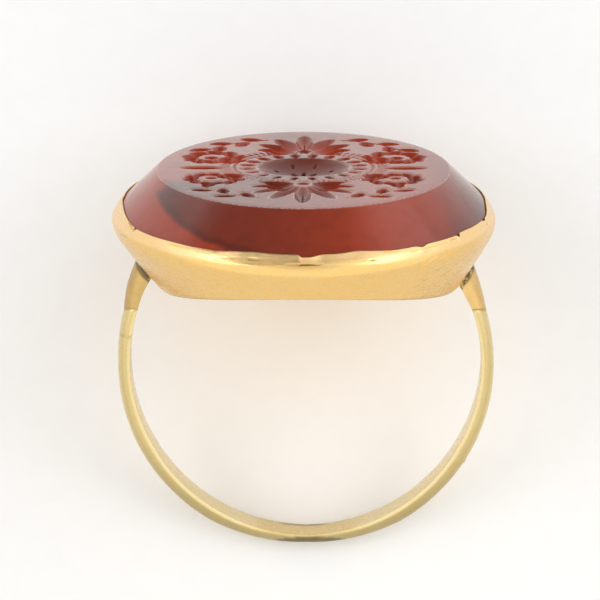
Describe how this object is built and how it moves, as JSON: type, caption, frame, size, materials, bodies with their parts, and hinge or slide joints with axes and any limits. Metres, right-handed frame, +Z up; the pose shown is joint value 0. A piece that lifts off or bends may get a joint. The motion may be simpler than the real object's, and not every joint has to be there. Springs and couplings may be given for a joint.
{
  "type": "intaglio signet ring",
  "caption": "Antique style gold signet ring with a large oval carnelian seal stone, engraved table and half-round hoop, lying on its side.",
  "frame": {"origin": "bottom centre of the ring's box as it lies on its side on a surface", "axes": "+Z up, +X across the finger, +Y along the surface towards the side on which the stone's head leans down"},
  "size_m": [0.0192, 0.0214, 0.0192],
  "materials": {
    "gold": "worn polished yellow and rose gold",
    "carnelian": "polished translucent red-brown stone with a matt engraved design"
  },
  "bodies": {
    "root": {"setting": "gold", "stone": "carnelian"}
  },
  "joints": []
}
